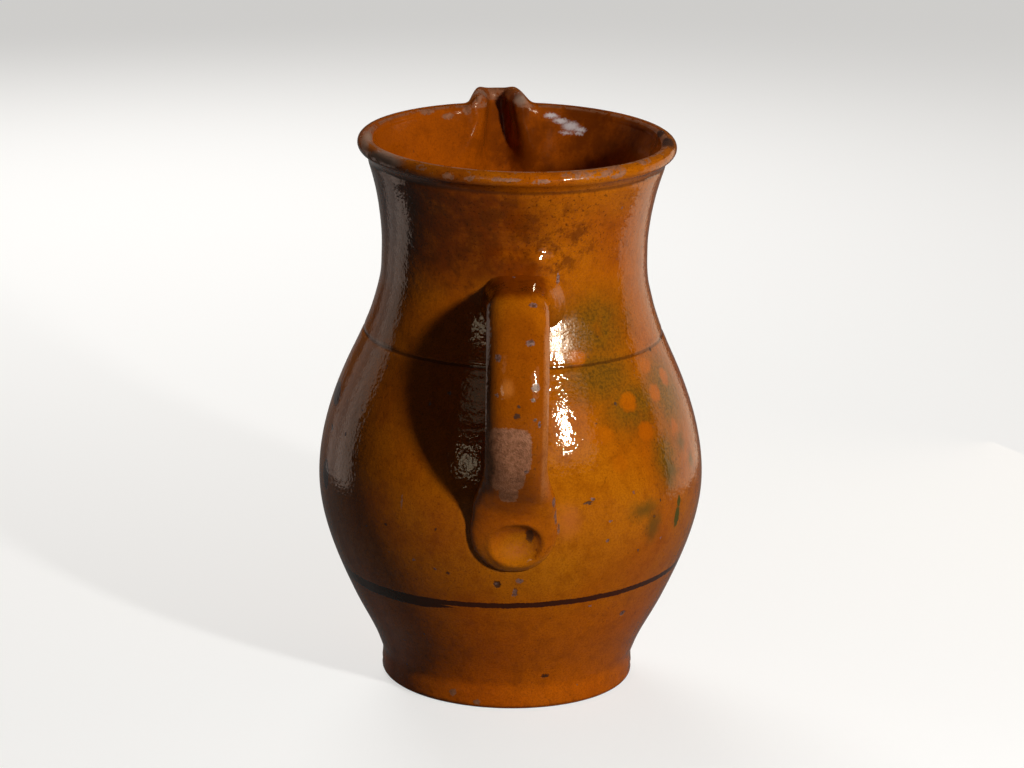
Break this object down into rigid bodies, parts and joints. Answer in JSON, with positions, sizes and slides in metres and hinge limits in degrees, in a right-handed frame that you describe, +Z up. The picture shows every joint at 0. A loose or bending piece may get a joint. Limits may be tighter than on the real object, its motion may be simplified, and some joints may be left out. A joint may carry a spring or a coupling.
{
  "type": "glazed ceramic jug",
  "caption": "Round-bellied glazed earthenware pouring jug with a rolled lip, a pinched spout and a strap handle opposite it.",
  "frame": {"origin": "centre of the flat underside that the jug stands on", "axes": "+Z up along the axis of the thrown body, -Y towards the handle, +Y towards the spout, +X across the mouth"},
  "size_m": [0.1729, 0.2002, 0.2533],
  "materials": {
    "glaze": "glossy honey-brown lead-type glaze over earthenware, worn through at the lip and on the handle"
  },
  "bodies": {
    "root": {"jug": "glaze"}
  },
  "joints": []
}
